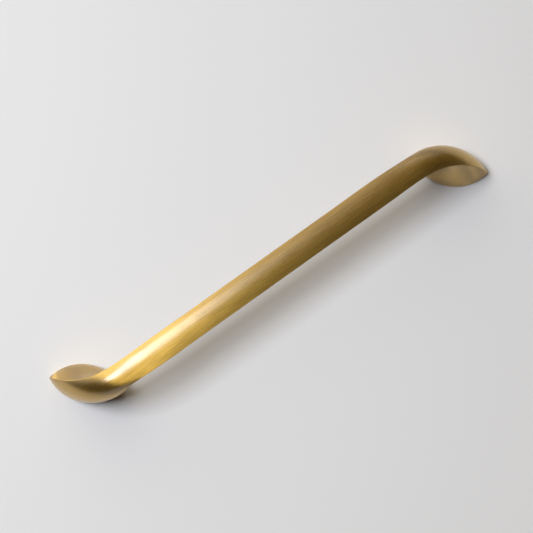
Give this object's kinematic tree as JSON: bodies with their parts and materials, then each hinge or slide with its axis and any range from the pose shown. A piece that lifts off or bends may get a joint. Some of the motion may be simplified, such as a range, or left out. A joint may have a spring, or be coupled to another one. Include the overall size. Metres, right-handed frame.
{
  "type": "appliance pull",
  "caption": "Slim lens-section bar whose twisted ends flare into lens-shaped feet, tapped for screws from behind the door.",
  "frame": {"origin": "midway between the two screws, on the mounting face", "axes": "+X along the line through the two screws, +Z straight out of the door, +Y completes the right-handed frame"},
  "size_m": [0.346, 0.0409, 0.0466],
  "materials": {
    "satin_brass": "satin, fine brushed grain along the bar"
  },
  "bodies": {
    "root": {"pull": "satin_brass"}
  },
  "joints": []
}
